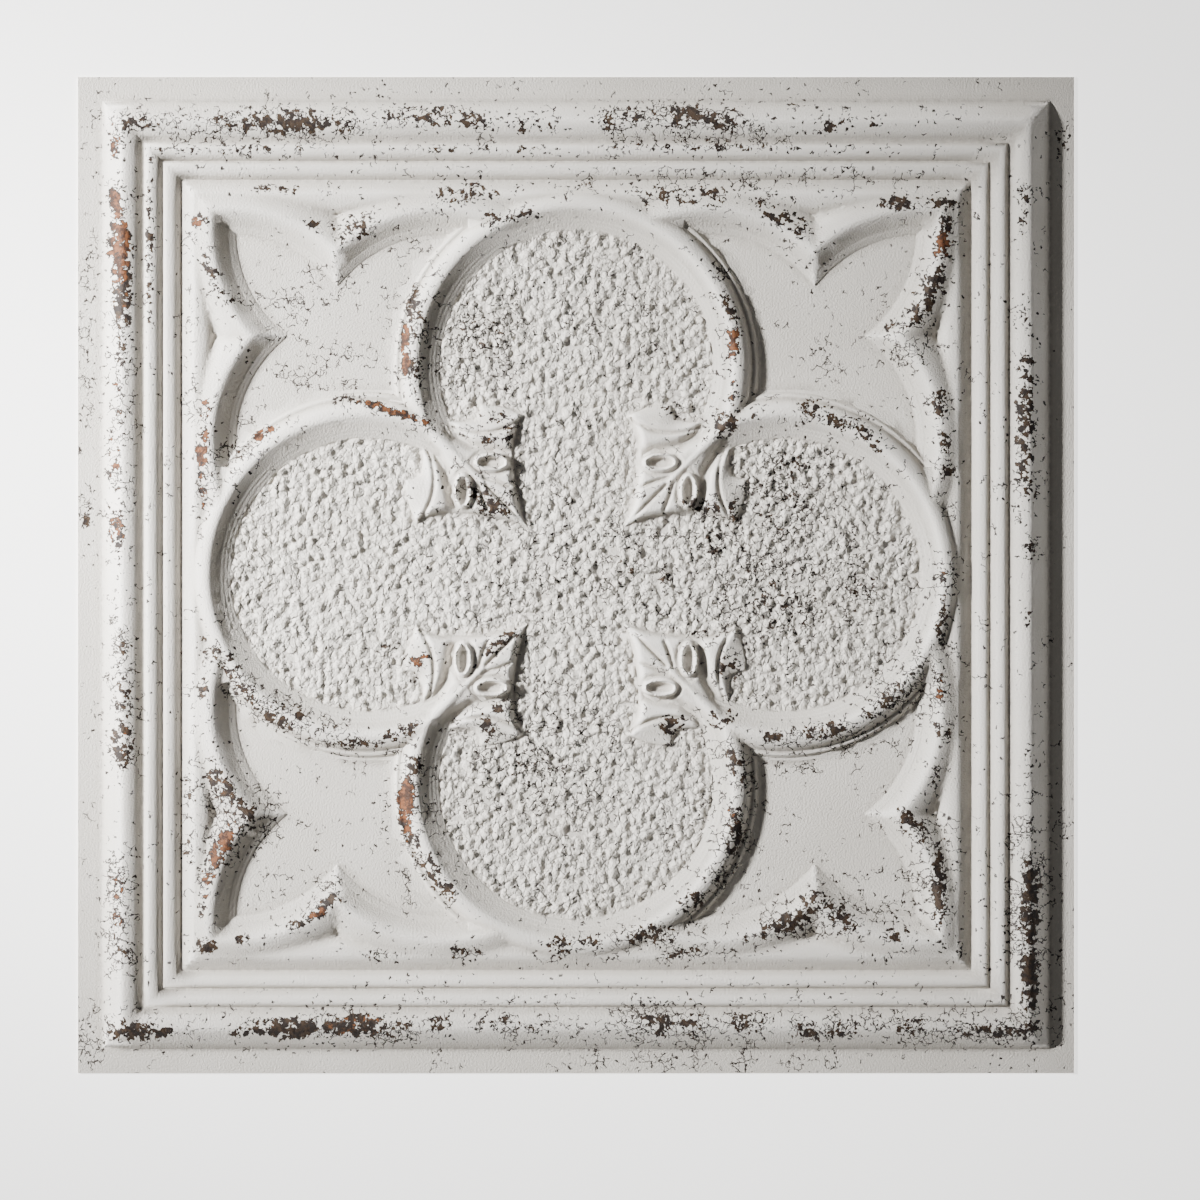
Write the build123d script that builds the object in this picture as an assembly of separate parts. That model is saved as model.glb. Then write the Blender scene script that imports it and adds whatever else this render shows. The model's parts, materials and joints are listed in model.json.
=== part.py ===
"""Ceiling tile: a square sheet formed in one piece, with stepped frame mouldings, a ring quatrefoil,
cusped tracery in the four corners and four leaf ends with eyelets. Millimetres, +Z is the face,
the origin is the middle of the back of the flat edge."""
import os
from math import acos, cos, radians, sin

from build123d import *

# Sheet
side = 603.25
sheet = 0.8
relief = 12.0
flange = 14.5

# Frame mouldings, from the flat edge inwards
half_round = 26.0
bead_pitch = 11.0
first_crease = 7.4
crease_drop = 1.9
bead_rise = 2.0
rim_width = 7.0
rim_flat = 4.0
rim_fall = 10.5
rim_level = 8.5

# Levels of the ground inside the frame
field_level = 3.0
panel_level = 4.5
recess_level = 5.0

# Rings of the quatrefoil, from the panel outwards
ring_centre = 126.0
panel_radius = 83.0
step_width = 6.4
bead_width = 3.3
slope_width = 6.6
fall_width = 12.2
ring_level = 11.8

# Cusped tracery: two centres for each half corner, and its section from the field outwards
centre_across = 126.0
low_centre = 80.6
high_centre = 208.4
tracery_foot = 81.0
ledge_width = 6.5
rise_width = 9.5
outer_width = 13.0
tracery_level = 11.5
tracery_reach = 60.0

# Leaf ends, along and across each diagonal from the middle of the tile
leaf_tip = 41.4
leaf_waist = (74.3, 21.6)
leaf_lobe = (90.3, 46.0)
leaf_shoulder = (114.2, 31.2)
leaf_root = (121.0, 12.1)
leaf_level = 8.8
leaf_slope = 3.2
fold_mid = (101.0, 20.4)
fold_end = (115.0, 11.4)
groove_width = 2.6
groove_depth = 1.2
vein_start = 80.0
vein_length = 33.0
vein_spread = 15.0
eyelet_place = (86.0, 10.6)
eyelet_radius = 5.4
eyelet_length = 17.2
eyelet_wall = 2.2
eyelet_rise = 1.4
eyelet_depth = 3.0
stem_start = 134.0
stem_end = 80.0
stem_level = 11.4
stem_half = 9.0

# Depth to which the solid forms reach before the back is cut out, and a height clear above them
below = -20.0
clear = 60.0

# Kinds of point in a section: an end of an edge, the middle of an arc, a step only the face shows
EDGE, ARC, FINE = range(3)


def inset(points, off):
    """Clockwise outline moved in by the offset, each corner along its mitre."""
    moved = []
    for number, point in enumerate(points):
        before = points[number - 1]
        after = points[(number + 1) % len(points)]
        into = Vector(point[0] - before[0], point[1] - before[1]).normalized()
        away = Vector(after[0] - point[0], after[1] - point[1]).normalized()
        normal = Vector(into.Y + away.Y, -into.X - away.X)
        shift = normal * (off / (1 + into.dot(away)))
        moved.append((point[0] + shift.X, point[1] + shift.Y))
    return moved


def section(run, off):
    """Closed face under a run of points, moved in by the offset; the back leaves out the fine steps."""
    kept = [point for point in run if off == 0 or point[2] != FINE]
    corners = [(across, level) for across, level, kind in kept]
    corners += [(corners[-1][0], below), (corners[0][0], below)]
    corners = inset(corners, off)
    edges = []
    begin = 0
    while begin < len(kept) - 1:
        if kept[begin + 1][2] == ARC:
            edges.append(ThreePointArc(*corners[begin:begin + 3]))
            begin += 2
        else:
            edges.append(Line(*corners[begin:begin + 2]))
            begin += 1
    edges.append(Polyline(*corners[begin:], corners[0]))
    return make_face(Curve() + edges)


def turned(face, across, along):
    """Solid of revolution about the upright axis through a point."""
    keep = Rectangle(400, 400, align=(Align.MIN, Align.CENTER))
    return Pos(across, along, 0) * revolve(Plane.XZ * (face & keep), Axis.Z, 360)


def frame_face(off):
    """Half-round, two beads stepping down inwards and the rim of the sunk ground."""
    rise = relief - sheet
    radius = ((half_round / 2) ** 2 + rise ** 2) / (2 * rise)
    crest = flange + half_round / 2
    bend = radians(48)
    shoulder = (crest + radius * sin(bend), relief - radius * (1 - cos(bend)))
    crease = flange + half_round
    level = first_crease
    run = [
        (flange, sheet, EDGE),
        (crest, relief, ARC),
        (*shoulder, EDGE),
        (crease - 1.8, shoulder[1] - 0.5, FINE),
        (crease, level, EDGE),
    ]
    for number in range(2):
        run.append((crease + bead_pitch * 0.42, level + bead_rise, ARC))
        crease += bead_pitch
        level -= crease_drop
        run.append((crease, level, EDGE))
    rim = crease + rim_width
    run.append((rim, rim_level, EDGE))
    run.append((rim + rim_flat, rim_level, EDGE))
    run.append((rim + rim_flat + rim_fall, field_level, EDGE))
    return section(run, off)


def ring_face(off):
    """Panel, two small steps, a bead, the inner slope, the crest and the outer slope of a ring."""
    groove = panel_radius + step_width
    slope = groove + bead_width
    crest = slope + slope_width
    foot = crest + fall_width
    run = [
        (-20, panel_level, EDGE),
        (panel_radius, panel_level, EDGE),
        (panel_radius + step_width * 0.25, panel_level + 1.0, FINE),
        (groove - step_width * 0.31, panel_level + 1.1, EDGE),
        (groove - step_width * 0.13, panel_level + 2.0, FINE),
        (groove, panel_level + 1.7, EDGE),
        (groove + bead_width / 2, panel_level + 2.7, FINE if off else ARC),
        (slope, panel_level + 2.0, EDGE),
        (slope + slope_width * 0.4, ring_level - 1.7, ARC),
        (crest, ring_level, EDGE),
        (crest + fall_width * 0.45, ring_level - 2.2, ARC),
        (foot - fall_width * 0.26, field_level + 2.4, EDGE),
        (foot - fall_width * 0.13, field_level + 1.9, FINE),
        (foot, field_level, EDGE),
    ]
    return section(run, off)


def tracery_face(off):
    """Sunk field, ledge, inner slope, crest, outer slope and the soft recess behind it."""
    crease = tracery_foot + ledge_width
    crest = crease + rise_width
    outer = crest + outer_width
    run = [
        (-20, field_level, EDGE),
        (tracery_foot, field_level, EDGE),
        (tracery_foot + ledge_width * 0.28, field_level + 1.5, FINE),
        (crease, field_level + 2.2, EDGE),
        (crease + rise_width * 0.42, tracery_level - 2.0, ARC),
        (crest, tracery_level, EDGE),
        (crest + outer_width * 0.46, tracery_level - 2.0, ARC),
        (outer, recess_level, EDGE),
        (outer + tracery_reach, recess_level, EDGE),
    ]
    return section(run, off)


def slab(low, high, top):
    """Upright block over a rectangle given by two corners, from far below up to a level."""
    block = Box(high[0] - low[0], high[1] - low[1], top - below, align=(Align.MIN, Align.MIN, Align.MIN))
    return Pos(low[0], low[1], below) * block


def wedge():
    """Upright prism over the quarter of the tile between its two diagonals."""
    reach = side / 2
    outline = make_face(Polyline((0, 0), (reach, reach), (reach, -reach), (0, 0)))
    return Pos(0, 0, below) * extrude(outline, clear - below)


def half_corner(off):
    """Tracery above the axis: the lower arc up to the cusp and the upper arc beyond it."""
    cusp = (low_centre + high_centre) / 2
    face = tracery_face(off)
    edge = side / 2 - flange - half_round - 2 * bead_pitch - rim_width
    lower = turned(face, centre_across, low_centre) & slab((0, 0), (edge, cusp), clear)
    upper = turned(face, centre_across, high_centre) & slab((0, cusp), (edge, side / 2), clear)
    return lower + upper


def quarter(off):
    """One side of the form: frame piece, ring and the tracery halves at its two ends."""
    bar = extrude(Plane.XZ * frame_face(off), side / 2, both=True)
    frame = Pos(side / 2, 0, 0) * mirror(bar, Plane.YZ)
    crest = panel_radius + step_width + bead_width + slope_width
    core = Cylinder(crest, clear - below, align=(Align.CENTER, Align.CENTER, Align.MIN))
    tracery = half_corner(off) - Pos(ring_centre, 0, below) * core
    both = tracery + mirror(tracery, Plane.XZ)
    limit = side / 2 - flange - half_round - 2 * bead_pitch - rim_width / 3
    zone = slab((ring_centre / 2, -side / 2), (limit, side / 2), clear)
    ring = turned(ring_face(off), ring_centre, 0) & zone
    return (both + ring + frame) & wedge()


def teardrop(radius, length, level):
    """Level face, round at the origin end and pointed along +X."""
    reach = length - radius
    angle = acos(radius / reach)
    upper = (radius * cos(angle), radius * sin(angle))
    lower = (upper[0], -upper[1])
    arc = ThreePointArc(upper, (-radius, 0), lower)
    outline = make_face(arc.edges() + Polyline(lower, (reach, 0), upper).edges())
    return Pos(0, 0, level) * outline


def leaf_face(shrink, level):
    """Level face of a leaf: half outline with hollow edges between the points, and its mirror image."""
    tip = (leaf_tip + 2.6 * shrink, 0)
    waist = (leaf_waist[0], leaf_waist[1] - shrink)
    lobe = (leaf_lobe[0] + 0.7 * shrink, leaf_lobe[1] - 2.4 * shrink)
    shoulder = (leaf_shoulder[0] - 0.4 * shrink, leaf_shoulder[1] - 1.2 * shrink)
    root = (leaf_root[0], leaf_root[1] - 0.8 * shrink)
    low_mid = ((tip[0] + waist[0]) / 2 + 1.0, waist[1] / 2 - 1.2)
    high_mid = ((waist[0] + lobe[0]) / 2 + 2.2, (waist[1] + lobe[1]) / 2 - 1.2)
    out_mid = ((lobe[0] + shoulder[0]) / 2 + 1.5, (lobe[1] + shoulder[1]) / 2 + 1.5)
    half = Curve() + [
        ThreePointArc(tip, low_mid, waist),
        ThreePointArc(waist, high_mid, lobe),
        ThreePointArc(lobe, out_mid, shoulder),
        Line(shoulder, root),
    ]
    close = Line(root, (root[0], -root[1]))
    return Pos(0, 0, level) * make_face(half.edges() + mirror(half, Plane.XZ).edges() + close.edges())


def groove(top):
    """Face of a V groove, with its mouth at a level and its point below it."""
    half = groove_width / 2
    corners = [(-half, top + 1), (half, top + 1), (half, top), (0, top - groove_depth), (-half, top)]
    return make_face(Polyline(*corners, corners[0]))


def stem(off):
    """Tapering ridge from the crossing of two rings down to the middle of a leaf."""
    ends = []
    for along, share in ((stem_end, 0.5), (stem_start, 1.0)):
        half = stem_half * share - 1.2 * off
        ridge = leaf_level + (stem_level - leaf_level) * share - off
        base = panel_level - 2 - off
        outline = make_face(Polyline((-half, base), (half, base), (0, ridge), (-half, base)))
        ends.append(Pos(along, 0, 0) * (Plane.YZ * outline))
    return loft(ends, ruled=True)


def leaf(off):
    """Raised leaf on its stem, with veins and folds cut in it and two eyelets."""
    top = leaf_level - off
    body = loft([leaf_face(off - 1.2, panel_level - off - 2), leaf_face(leaf_slope + off, top)], ruled=True)
    for turn in (-vein_spread, 0, vein_spread):
        length = vein_length * (0.7 if turn else 1.0)
        cut = extrude(Plane.YZ * groove(top), length)
        body = body - Pos(vein_start, 0, 0) * Rot(0, 0, 180 + turn) * cut
    fold = ThreePointArc(leaf_lobe, fold_mid, fold_end)
    axis = fold.arc_center
    ring = revolve(Pos(fold.radius, 0, 0) * (Plane.XZ * groove(top)), Axis.Z, 360)
    for hand in (1, -1):
        body = body - Pos(axis.X, hand * axis.Y, 0) * ring
    body = body + stem(off)
    rim = top + eyelet_rise
    wide = eyelet_radius - eyelet_wall + off
    long = eyelet_length - 2.9 * eyelet_wall + 2 * off
    for hand in (1, -1):
        place = Pos(eyelet_place[0], hand * eyelet_place[1], 0) * Rot(0, 0, hand * 135)
        foot = teardrop(eyelet_radius + 0.6 - off, eyelet_length + 1.5 - 2 * off, top - 1.5)
        crown = teardrop(eyelet_radius - 0.9 - off, eyelet_length - 2.4 - 2 * off, rim)
        mouth = teardrop(wide + 0.8, long + 2.0, rim + 1)
        floor = teardrop(wide - 1.2, long - 3.2, rim - eyelet_depth)
        body = body + place * loft([foot, crown], ruled=True)
        body = body - place * loft([floor, mouth], ruled=True)
    return body


def form(off):
    """Solid whose upper surface is the face of the tile, moved in by the offset."""
    half = ring_centre / 2
    whole = slab((-half, -half), (half, half), panel_level - off)
    sector = quarter(off)
    for number in range(4):
        whole = whole + Rot(0, 0, 90 * number) * sector
    one = leaf(off)
    for number in range(4):
        whole = whole + Rot(0, 0, 90 * number + 45) * one
    return whole


plate = Pos(-side / 2, -side / 2, 0) * Box(side, side, sheet, align=(Align.MIN, Align.MIN, Align.MIN))
above = Pos(-side / 2, -side / 2, 0) * Box(side, side, clear, align=(Align.MIN, Align.MIN, Align.MIN))
tile = (form(0) & above) + plate - form(sheet)
tile.label = "ceiling_tile"
os.makedirs("parts", exist_ok=True)
export_step(tile, "parts/ceiling_tile.step")
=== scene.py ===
"""Looks of the ceiling tile: one formed sheet of rigid PVC and its chipped white paint.

The whole face is one height function over the tile. Its vertices are laid out along the
mouldings over an eighth of the tile, between the +X axis and the diagonal, and copied to the
other seven eighths; the pebbles of the sunk panel are added last, on every vertex.
Lengths inside the classes are millimetres, and meshes are written in metres.
"""
import json
import logging
import math
from collections.abc import Callable
from dataclasses import dataclass, field
from enum import Enum
from functools import partial

import bpy
import numpy as np
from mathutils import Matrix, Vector
from mathutils.geometry import delaunay_2d_cdt

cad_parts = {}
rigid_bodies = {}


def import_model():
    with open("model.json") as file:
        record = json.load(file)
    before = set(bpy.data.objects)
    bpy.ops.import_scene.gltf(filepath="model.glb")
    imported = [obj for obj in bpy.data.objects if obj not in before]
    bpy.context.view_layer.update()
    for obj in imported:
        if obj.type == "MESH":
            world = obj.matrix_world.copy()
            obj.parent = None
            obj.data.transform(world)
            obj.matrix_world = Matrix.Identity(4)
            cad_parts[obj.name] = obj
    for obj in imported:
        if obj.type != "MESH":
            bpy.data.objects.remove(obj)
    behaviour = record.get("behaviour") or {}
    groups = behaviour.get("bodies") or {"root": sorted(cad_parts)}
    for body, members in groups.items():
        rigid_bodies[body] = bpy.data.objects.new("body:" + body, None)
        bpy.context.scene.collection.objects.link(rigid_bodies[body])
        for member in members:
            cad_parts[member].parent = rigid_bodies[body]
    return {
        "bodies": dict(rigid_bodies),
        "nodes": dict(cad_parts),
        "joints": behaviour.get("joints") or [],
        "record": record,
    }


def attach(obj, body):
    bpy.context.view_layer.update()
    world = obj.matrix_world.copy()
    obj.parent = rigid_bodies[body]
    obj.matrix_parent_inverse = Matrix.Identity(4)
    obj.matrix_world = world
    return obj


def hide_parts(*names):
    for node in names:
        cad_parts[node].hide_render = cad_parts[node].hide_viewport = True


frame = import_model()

LOG = logging.getLogger("ceiling_tile")
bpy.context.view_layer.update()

Array = np.ndarray
Tree = bpy.types.NodeTree
Node = bpy.types.Node
Socket = bpy.types.NodeSocket

MM = 0.001  # metres
HALF_ROOT = math.sqrt(0.5)  # what a unit step along the diagonal is on each axis
ABSENT = -9.0  # height of a form where it isn't there
HIDDEN = -99.0  # height of a row where another form covers it
UNLIMITED = 99.0  # wider than any moulding

# Settings that several nodes of the paint share.
FLAT = {"noise_dimensions": "2D"}
CELLS = {"voronoi_dimensions": "2D"}
SMOOTH = {"interpolation_type": "SMOOTHSTEP"}


class Blend(Enum):
    """How wide the fillet is where two forms meet, in millimetres."""

    CRISP = 0.35
    SOFT = 0.9


def higher(first: Array, second: Array, blend: Blend) -> Array:
    """Upper surface of two height fields, with a small fillet in the valley between them.

    The fillet adds max(k - |a - b|, 0)^2 / 4k to the larger of the two heights.

    Args:
        first: Heights of one form.
        second: Heights of the other form.
        blend: Width of the fillet.

    Returns:
        Heights of the union.
    """
    width = blend.value
    reach = np.maximum(width - np.abs(first - second), 0.0)
    return np.maximum(first, second) + reach**2 / (4.0 * width)


def distance_to_path(path: Array, x: Array, y: Array) -> Array:
    """Distance from points to the nearest segment of a path.

    For each segment the point is projected on it, |p - a - t(b - a)| with t held in 0..1.

    Args:
        path: Points of the path, shape (n, 2).
        x, y: Coordinates of the points.

    Returns:
        Distances, with the shape of x.
    """
    start = path[:-1]
    run = path[1:] - start
    square = np.maximum((run**2).sum(axis=1), 1e-9)
    dx = x.ravel()[:, None] - start[:, 0]
    dy = y.ravel()[:, None] - start[:, 1]
    share = np.clip((dx * run[:, 0] + dy * run[:, 1]) / square, 0.0, 1.0)
    gap = np.hypot(dx - share * run[:, 0], dy - share * run[:, 1])
    return gap.min(axis=1).reshape(x.shape)


def inside_path(path: Array, x: Array, y: Array) -> Array:
    """Even-odd test of points against a closed path.

    Args:
        path: Corners of the closed path, shape (n, 2).
        x, y: Coordinates of the points.

    Returns:
        True where the point lies inside.
    """
    here = path
    there = np.roll(path, -1, axis=0)
    px = x.ravel()[:, None]
    py = y.ravel()[:, None]
    spans = (here[:, 1] > py) != (there[:, 1] > py)
    rise = np.where(np.abs(there[:, 1] - here[:, 1]) < 1e-12, 1e-12, there[:, 1] - here[:, 1])
    cross = here[:, 0] + (py - here[:, 1]) / rise * (there[:, 0] - here[:, 0])
    return ((spans & (px < cross)).sum(axis=1) % 2 == 1).reshape(x.shape)


def arc_points(first: tuple, middle: tuple, last: tuple, count: int) -> Array:
    """Points on the circle through three points, from the first to the last.

    The centre comes from the two perpendicular bisectors, and the angle runs evenly.

    Args:
        first: Start of the arc.
        middle: A point on the arc.
        last: End of the arc.
        count: How many points to give.

    Returns:
        Points, shape (count, 2).
    """
    a, b, c = (np.array(point, float) for point in (first, middle, last))
    rows = 2.0 * np.array([b - a, c - b])
    centre = np.linalg.solve(rows, np.array([b @ b - a @ a, c @ c - b @ b]))
    radius = np.linalg.norm(a - centre)
    begin, mid, end = (math.atan2(*(point - centre)[::-1]) for point in (a, b, c))
    turn = (end - begin) % math.tau
    if (mid - begin) % math.tau > turn:
        turn -= math.tau
    angle = begin + turn * np.linspace(0.0, 1.0, count)
    return centre + radius * np.stack([np.cos(angle), np.sin(angle)], axis=1)


def bell(distance: Array, width: float, middle: float = 0.0) -> Array:
    """Bell curve exp(-((d - middle) / width)^2) over a distance."""
    return np.exp(-(((distance - middle) / width) ** 2))


def folded(x: Array, y: Array) -> tuple[Array, Array]:
    """The matching points of the first eighth, where x is the larger and neither is negative."""
    return np.maximum(np.abs(x), np.abs(y)), np.minimum(np.abs(x), np.abs(y))


def to_diagonal(x: Array, y: Array) -> tuple[Array, Array]:
    """Lengths along the diagonal, and across it to either side."""
    return (x + y) * HALF_ROOT, np.abs(x - y) * HALF_ROOT


def pairs(first: Array, second: Array) -> Array:
    """Two rows of numbers as the two columns of one array."""
    return np.stack([first, second], axis=1)


def steps_round(reach: float) -> list[tuple[float, float]]:
    """Twelve steps of one length, evenly all round."""
    angles = np.linspace(0.0, math.tau, 12, endpoint=False)
    return [(reach * math.cos(angle), reach * math.sin(angle)) for angle in angles]


def unbroken(row: Array, good: Array) -> list[Array]:
    """Cuts a row of points where they turn good or bad.

    Args:
        row: Points of the row, shape (n, 2).
        good: True for the points that stay.

    Returns:
        The good parts that have two points or more.
    """
    cuts = np.flatnonzero(np.diff(good.astype(int))) + 1
    parts = zip(np.split(row, cuts), np.split(good, cuts))
    return [part for part, on in parts if on[0] and len(part) > 1]


class Profile:
    """Section of a moulding: its height over the distance across it, in even fine steps."""

    STEP = 0.05
    ARC_POINTS = 40
    SIGMAS = 3.0

    def __init__(self, start: tuple[float, float]) -> None:
        """Starts the section at a point given as distance and height."""
        self.points = [np.array([start], float)]

    def line(self, across: float, level: float) -> "Profile":
        """Adds a straight run to a point and returns the section."""
        self.points.append(np.array([(across, level)], float))
        return self

    def arc(self, middle: tuple[float, float], end: tuple[float, float]) -> "Profile":
        """Adds an arc through a middle point to an end point and returns the section."""
        first = tuple(self.points[-1][-1])
        self.points.append(arc_points(first, middle, end, self.ARC_POINTS)[1:])
        return self

    def softened(self, sigma: float) -> "Profile":
        """Rounds every crease and edge as forming and paint do.

        The even steps are convolved with a Gaussian of the given sigma in millimetres.

        Args:
            sigma: Radius of the rounding.

        Returns:
            The section itself, ready to be read.
        """
        run = np.concatenate(self.points)
        self.across = np.arange(run[0, 0], run[-1, 0], self.STEP)
        level = np.interp(self.across, run[:, 0], run[:, 1])
        span = int(math.ceil(self.SIGMAS * sigma / self.STEP))
        kernel = np.exp(-0.5 * (np.arange(-span, span + 1) * self.STEP / sigma) ** 2)
        padded = np.pad(level, span, mode="edge")
        self.level = np.convolve(padded, kernel / kernel.sum(), mode="valid")
        return self

    def height(self, across: Array) -> Array:
        """Heights at distances across the moulding, read between the fine steps."""
        return np.interp(across, self.across, self.level)

    def knots(self, tolerance: float, low: float, high: float, widest: float) -> Array:
        """Distances at which straight pieces keep to the section within a tolerance.

        The piece with the largest error is split at that error until none is over it, and then
        each piece into equal parts that are not over the widest.

        Args:
            tolerance: Largest height error.
            low: Lowest distance that is used.
            high: Highest distance that is used.
            widest: Longest piece.

        Returns:
            Sorted distances, from low to high.
        """
        keep = (self.across >= low) & (self.across <= high)
        across, level = self.across[keep], self.level[keep]
        marks = [0, len(across) - 1]
        while True:
            error = np.abs(level - np.interp(across, across[marks], level[marks]))
            worst = int(error.argmax())
            if error[worst] < tolerance:
                break
            marks = sorted({*marks, worst})
        ends = across[marks]
        parts = np.maximum(np.ceil(np.diff(ends) / widest), 1.0).astype(int)
        made = [np.linspace(a, b, n, endpoint=False) for a, b, n in zip(ends, ends[1:], parts)]
        return np.concatenate([*made, ends[-1:]])


@dataclass
class FrameMouldings:
    """Flat edge, half-round, two beads stepping down inwards and the rim of the sunk ground."""

    side: float = 603.25
    sheet: float = 0.8
    relief: float = 11.96
    flange: float = 14.5
    half_round: float = 26.0
    bead_pitch: float = 11.0
    first_crease: float = 7.4
    crease_drop: float = 1.9
    bead_rise: float = 2.4
    rim_width: float = 8.2
    rim_flat: float = 2.6
    rim_fall: float = 10.5
    rim_level: float = 8.5
    crest_share: float = 0.54
    forming_radius: float = 0.22

    def __post_init__(self) -> None:
        """Works out the section from the edge of the tile inwards."""
        crest = self.flange + self.half_round * self.crest_share
        crease = self.flange + self.half_round
        section = Profile((-1.0, self.sheet)).line(self.flange, self.sheet)
        section.arc((self.flange + 4.9, self.sheet + 5.2), (crest - 3.0, self.relief - 1.0))
        section.arc((crest - 1.4, self.relief - 0.2), (crest, self.relief))
        section.arc((crest + 5.6, self.relief - 1.3), (crease - 2.2, self.first_crease + 0.5))
        section.line(crease, self.first_crease - 0.1)
        level = self.first_crease
        for _ in range(2):
            top, middle = level + self.bead_rise, level + self.bead_rise * 0.5
            section.arc((crease + 1.3, level + self.bead_rise * 0.75), (crease + 3.4, top))
            crease, level = crease + self.bead_pitch, level - self.crease_drop
            section.arc((crease - 3.3, middle), (crease, level))
        rim = crease + self.rim_width
        section.line(rim, self.rim_level).line(rim + self.rim_flat, self.rim_level)
        foot = rim + self.rim_flat + self.rim_fall
        section.arc((foot - 4.6, self.rim_level - 1.7), (foot, 2.6)).line(foot + 2.5, -3.0)
        section.line(foot + 30.0, -9.0)
        self.section = section.softened(self.forming_radius)
        self.inner = self.side / 2 - crease

    def height(self, x: Array) -> Array:
        """Height over the distance in from the edge, side / 2 - x."""
        return self.section.height(self.side / 2 - x)


@dataclass
class Ring:
    """One ring of the quatrefoil, about a point on the +X axis."""

    centre: float = 126.0
    panel_radius: float = 83.0
    panel_level: float = 4.5
    crest_radius: float = 97.8
    foot_radius: float = 111.5
    level: float = 11.8
    forming_radius: float = 0.2

    def __post_init__(self) -> None:
        """Works out the section from the panel outwards."""
        low = self.panel_level
        section = Profile((0.0, low)).line(self.panel_radius, low)
        section.line(self.panel_radius + 0.8, low + 0.8).line(85.2, low + 0.9)
        section.line(86.1, low + 1.8).line(87.6, low + 1.9)
        section.line(88.5, low + 2.9).line(89.9, low + 3.0)
        crest = (self.crest_radius, self.level)
        section.line(95.0, self.level - 0.8).arc((96.3, self.level - 0.2), crest)
        section.arc((102.6, self.level - 1.6), (106.3, 6.3)).line(107.0, 5.8)
        section.arc((108.3, 6.1), (109.6, 4.9)).line(110.2, 4.2)
        section.line(self.foot_radius, 3.0).line(self.foot_radius + 6.0, -6.0)
        section.line(400.0, -7.0)
        self.section = section.softened(self.forming_radius)

    def radius(self, x: Array, y: Array) -> Array:
        """Distance from the ring's centre."""
        return np.hypot(x - self.centre, y)

    def height(self, x: Array, y: Array) -> Array:
        """Height over the radius; the middle, within half the centre's distance, is panel."""
        form = self.section.height(self.radius(x, y))
        return np.where(x < self.centre / 2, self.panel_level, form)


@dataclass
class Tracery:
    """Cusped moulding of a half corner: two arcs of one radius that meet in a cusp."""

    across: float = 126.0
    low_centre: float = 80.6
    high_centre: float = 208.4
    foot: float = 80.3
    crest: float = 96.2
    outer: float = 110.0
    field_level: float = 3.0
    recess_level: float = 5.0
    level: float = 11.45
    forming_radius: float = 0.25

    def __post_init__(self) -> None:
        """Works out the section from the sunk field outwards."""
        foot, low = self.foot, self.field_level
        section = Profile((0.0, low)).line(foot, low)
        section.line(foot + 1.0, low + 1.2).line(foot + 2.4, low + 1.2)
        section.line(foot + 3.2, low + 2.1).line(84.7, low + 2.2)
        section.line(92.5, self.level - 1.0).arc((94.1, self.level - 0.3), (self.crest, self.level))
        section.arc((102.8, self.level - 2.2), (self.outer, self.recess_level))
        section.line(self.outer + 6.0, -3.0).line(self.outer + 200.0, -6.0)
        self.section = section.softened(self.forming_radius)
        self.cusp = (self.low_centre + self.high_centre) / 2

    def radius(self, x: Array, y: Array) -> Array:
        """Distance from the nearer of the two centres, which the level of the cusp divides."""
        low = np.hypot(x - self.across, y - self.low_centre)
        high = np.hypot(x - self.across, y - self.high_centre)
        return np.where(y < self.cusp, low, high)

    def height(self, x: Array, y: Array) -> Array:
        """Height over that distance."""
        return self.section.height(self.radius(x, y))


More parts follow.
